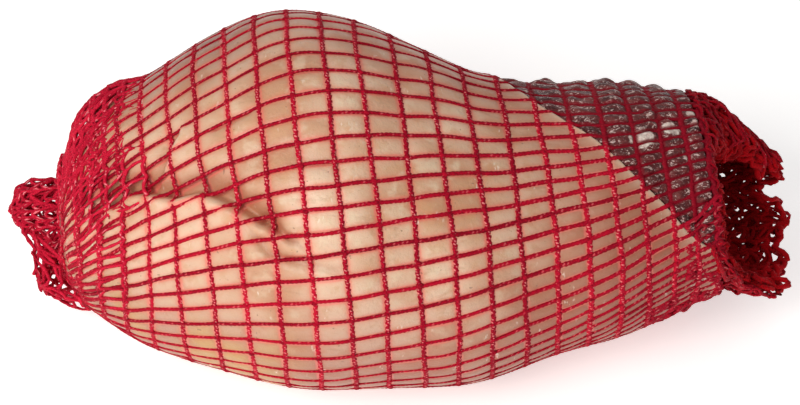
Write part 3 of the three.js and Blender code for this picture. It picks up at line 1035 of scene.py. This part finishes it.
def slack_net(bundle, surface, rows, cells, half, seed, turns=WHOLE, wander=0.6,
              scallop=1.0, hem_loop=1.0, wet=0.0):
    """Looped round cords and wavy lengthwise ones on surface(share, turn)."""
    dice = np.random.default_rng(seed)
    first, width = turns[0], turns[1] - turns[0]
    closed = turns == WHOLE
    steps = cells * PER_CELL + (0 if closed else 1)
    turn = first + np.arange(steps) * width / (cells * PER_CELL)

    def wandering(share, turn):
        points = surface(share, turn)
        strays = [ripple(points, WANDER_SIZE, seed + k) for k in range(3)]
        return points + wander * np.stack(strays, -1)

    def out_of(share, turn):
        lengthwise = surface(share + 0.01, turn) - surface(share - 0.01, turn)
        around = surface(share, turn + 1) - surface(share, turn - 1)
        return unit(np.cross(lengthwise, around))

    loop = np.abs(np.sin(np.pi * np.arange(steps) / PER_CELL))
    for row in range(rows + 1):
        last = row == rows
        reach = (hem_loop if last else scallop) * dice.uniform(0.6, 1.1)
        share = row / rows + reach / rows * (loop - (0.0 if last else 0.5))
        swung = turn + 1.2 * np.sin(np.radians(turn * 7) + row)
        bead = half * beads(steps, dice) * (HEM_THICKER if last else 1.0)
        add_cord(bundle, dice, wandering(share, swung), out_of(share, turn),
                 bead, bead * LOOSE_FLATNESS, 6, closed, 0.5, wet)
    share = np.linspace(0, 1, rows * 4 + 1)
    for number in range(cells + (0 if closed else 1)):
        start = first + number * width / cells
        turn = start + 1.5 * np.sin(share * rows * 2 + dice.uniform(0, 6))
        bead = half * LOOSE_FLATNESS * beads(len(share), dice)
        add_cord(bundle, dice, wandering(share, turn), out_of(share, turn),
                 bead, bead, 5, False, 0.25, wet)


def slack_piece(name, finish, node, *nets):
    """A piece of several slack nets, each given as slack_net's other arguments."""
    bundle = Bundle()
    for net in nets:
        slack_net(bundle, *net)
    bundle.make(name, finish, "net", node)


# %% Foot end
def upwards(turn):
    """1 at the upper edge of the shown side, -1 at its lower edge."""
    return np.cos(np.radians(turn - FACE_TURN + 90))


def wave(turn, count, size, offset=0):
    """A ripple that goes round, with this many crests."""
    return size * np.cos(np.radians(count * turn + offset))


# the upper part of the gathered net closes to a tip, and its lower part bulges into a lobe
# that curls back to the hock: how far out and how wide, by the share of the way
FOOT_SHARE = [0, 0.2, 0.4, 0.6, 0.8, 1.0]
TIP_OUT, TIP_RADIUS = [0, 4.5, 9, 12.5, 14.8, 15.6], [10.6, 10.4, 9.4, 8.2, 6.2, 3.5]
LOW_OUT, LOW_RADIUS = [0, 5.5, 9.5, 8.5, 3.5, -3], [11.5, 16, 19.5, 22.5, 24.5, 26.3]
foot_back = STATIONS[0, BACK]
foot_z = STATIONS[0, HALF_WIDTH] * FLATNESS + STATIONS[0, LIFT] - SETTLE
LOBE_BETWEEN = (0.4, 0.85)  # how low the lobe starts, and where it is full
FOOT_GAP = 0.4


def foot_surface(inset, share, turn):
    """The gathered net past the foot end; an inset gives the layer just inside it."""
    up = upwards(turn)
    low = rise_between(*LOBE_BETWEEN, -up)
    out, radius = (
        np.interp(share, FOOT_SHARE, a) * (1 - low) + np.interp(share, FOOT_SHARE, b) * low
        for a, b in ((TIP_OUT, LOW_OUT), (TIP_RADIUS, LOW_RADIUS)))
    ruffle = wave(turn, 3, 0.09, 35) + wave(turn, 11, 0.07) * share
    radius = radius * (1 + ruffle) - inset
    rise = radius * up
    x = FOOT_X - FOOT_GAP - out + 1.5 * ruffle * share - NET_LEAN * rise - NET_BOW * rise**2
    y = foot_back - radius * np.sin(np.radians(turn))
    z = foot_z + radius * np.cos(np.radians(turn))
    return np.stack([x, y, z], -1)


loose_yarn = yarn_finish("loose_yarn", (164, 4, 36), (226, 34, 66), (255, 150, 158), 0.7)
slack_piece(
    "foot_ruffle", loose_yarn, "net_foot_end",
    (partial(foot_surface, 0), 6, 22, 0.54, 31, WHOLE, 0.8),
    (partial(foot_surface, 1.8), 5, 14, 0.54, 47, WHOLE, 1.2))

# %% [markdown]
# Over the upper side of the foot end the net is turned back on itself and stands a few
# millimetres off the skin, with its loops along the outline. It is the same slack net, laid
# in three patches that overlap on the hock's own surface. A fourth one closes over the end
# of the hock, from its last round cord in to the neck of the gathered net.

# %% Turned-back cuff
CUFF_LAST = -12  # its hem is over this round cord
CUFF_ENDS, CUFF_FADE = (-109, 94), 15  # the first and the last lengthwise line
CUFF_UNDER, CUFF_LIFT, LOOP_BASE, LOOP_HEIGHT = -0.6, 1.0, 0.1, 1.9


def cuff_surface(first_cord, stands_off, share, line):
    """The cuff's surface from its first round cord on, this far off the net beneath."""
    x = round_cord_x(first_cord + (CUFF_LAST - first_cord) * share)
    turn = net_turn(line + CORD_PHASE, x)
    ends = np.clip((line - CUFF_ENDS[0]) / CUFF_FADE, 0, 1)
    ends = ends * np.clip((CUFF_ENDS[1] - line) / CUFF_FADE, 0, 1)
    loops = np.abs(np.sin(np.pi * line / CELL_TURN))
    free = rise_between(40, 70, -line) * rise_between(0, 0.4, share)
    lift = CUFF_LIFT + (LOOP_BASE + LOOP_HEIGHT * loops) * free + stands_off * share
    raised = CUFF_UNDER + lift * ends
    return on_section(x + cord_drift(turn, x), turn, raised)


SHOULDER_FROM, SHOULDER_RAISED = -98.6, 0.6
CORNER = 0.3  # the share of the way at which this net turns over the end
NECK_SCALE, NECK_OUT = 0.25, 0.9


def shoulder_surface(share, turn):
    """Over the end of the hock, from its last round cord in to the neck of the gathered net."""
    over_end = np.maximum((share - CORNER) / (1 - CORNER), 0)
    scale = 1 - (1 - NECK_SCALE) * over_end
    x = SHOULDER_FROM + (FOOT_X - SHOULDER_FROM) * np.minimum(share / CORNER, 1)
    x = x - CAP_BULGE * (1 - scale**2) - NECK_OUT * over_end
    return on_section(x, turn, SHOULDER_RAISED, scale)


slack_piece(
    "foot_cuff", loose_yarn, "hock_in_net",
    (partial(cuff_surface, -9, 0.5), 3, 12, 0.56, 83, (3.75, 93.75), 0.15, 0.2, 0.3),
    (partial(cuff_surface, -8, 0.4), 5, 15, 0.58, 89, (-108.75, 3.75), 0.15, 0.2, 0.3),
    (partial(cuff_surface, -8.4, 0.4), 6, 18, 0.56, 97, (-108.75, -18.75), 0.4, 0.35, 0.4),
    (shoulder_surface, 7, 28, 0.54, 101, WHOLE, 0.5, 0.6, 0.6))

# %% Cut end
CUP_START, CUP_NEAR_X, CUP_SIDE_X, CUP_FAR_X = 88.9, 90.0, 106.5, 112.0
CUP_TAPER, CUP_SLUMP, TAPER_POWER = 0.25, 0.27, 2.4
NOTCH, NOTCH_TURN, NOTCH_HALF = 5.5, 224, 9
PINCH, PINCH_SHARE = 2.5, 0.3  # drawn in where the net leaves the lower side of the hock
FOLDED_TO = 0.45  # how far round from the shown side the rim is folded inside; 1 is the back
TURNED_IN, BEYOND = 3.5, 0.04  # most that lies folded inside, and the share of any more
FOLD_INSET, FOLD_LENGTH = 2.0, 2


def cup_surface(inset, share, turn):
    """The open mouth of the net; on the shown side it is folded inside."""
    away = (1 - np.cos(np.radians(turn - FACE_TURN))) / 2
    waves, off_shown = wave(turn, 9, 1.3) + wave(turn, 5, 0.65, 60), rise_between(0, 0.3, away)
    wall = CUP_NEAR_X - CUP_START + (CUP_SIDE_X - CUP_NEAR_X) * rise_between(0.02, 0.5, away)
    wall += (CUP_FAR_X - CUP_SIDE_X) * rise_between(0.5, 1, away) + waves * off_shown
    wall -= NOTCH * hump(facing(turn - NOTCH_TURN) / NOTCH_HALF)
    length = share * (CUP_SIDE_X - CUP_START)
    past = np.maximum(length - wall, 0)
    folded = np.minimum(past, TURNED_IN + BEYOND * (past - TURNED_IN))
    inside = np.where(away > FOLDED_TO, 0, folded)
    out = np.where(away > FOLDED_TO, share, np.minimum(length / wall, 1))
    x = CUP_START + wall * out - inside
    taper = CUP_TAPER * np.minimum(2 * away, 1) + CUP_SLUMP * upwards(turn)
    outer = np.maximum(out, 0)
    raised = outer * waves + 0.5 * off_shown - inset
    raised = raised - FOLD_INSET * np.minimum(inside / FOLD_LENGTH, 1)
    raised -= PINCH * hump(share / PINCH_SHARE) * np.maximum(-upwards(turn), 0)
    return on_section(x, turn, raised, 1 - taper * outer**TAPER_POWER)


# a darker copy of the yarn: painted shade for the lining inside the mouth
painted_shade_yarn = yarn_finish("shaded_yarn", (130, 0, 8), (190, 0, 16), (176, 20, 30), 0.3)
mouth_yarn = yarn_finish("mouth_yarn", (122, 0, 18), (208, 8, 34), (255, 150, 148), 0.5)
slack_piece(
    "cut_ruffle", mouth_yarn, "net_cut_end",
    (partial(cup_surface, 0), 6, 40, 0.5, 53, WHOLE, 0.6, 0.7, 0.7, 0.3))
slack_piece(
    "cut_lining", painted_shade_yarn, "net_cut_end",
    (partial(cup_surface, 2.0), 7, 42, 0.78, 67, WHOLE, 0.9, 1.0, 0.6),
    (partial(cup_surface, 3.6), 6, 36, 0.78, 71, WHOLE, 1.2, 1.0, 0.6))

# %% Gathered net beside and under the mouth
GATHER_FROM, GATHER_NARROWS, GATHER_WAVES = 88.5, 0.35, 0.3
UNDER_TO, UNDER_TURNS = 69.0, (84, 160)
BESIDE_TO, BESIDE_TURNS = 81.0, (38, 92)


def gather_surface(far_x, turns, raised, share, turn):
    """Extra net drawn together over the cut end of the hock, from the mouth to far_x."""
    middle_turn = sum(turns) / 2
    narrow = 1 - GATHER_NARROWS * np.clip(share, 0, 1)
    x = GATHER_FROM + (far_x - GATHER_FROM) * share
    drawn = middle_turn + (turn - middle_turn) * narrow
    return on_section(x, drawn, raised + GATHER_WAVES * wave(turn, 17, 1))


under_mouth = partial(gather_surface, UNDER_TO, UNDER_TURNS, 0.1)
beside_mouth = partial(gather_surface, BESIDE_TO, BESIDE_TURNS, 0.3)
slack_piece(
    "cut_gather", round_yarn, "hock_in_net",
    (under_mouth, 6, 17, 0.62, 91, UNDER_TURNS, 0.6, 0.5, 0.5, 0.3),
    (under_mouth, 8, 12, 0.66, 93, (100, 152), 0.9, 0.8, 0.6, 0.3),
    (beside_mouth, 2, 9, 0.62, 95, BESIDE_TURNS, 0.5, 0.8, 0.6, 0.5))
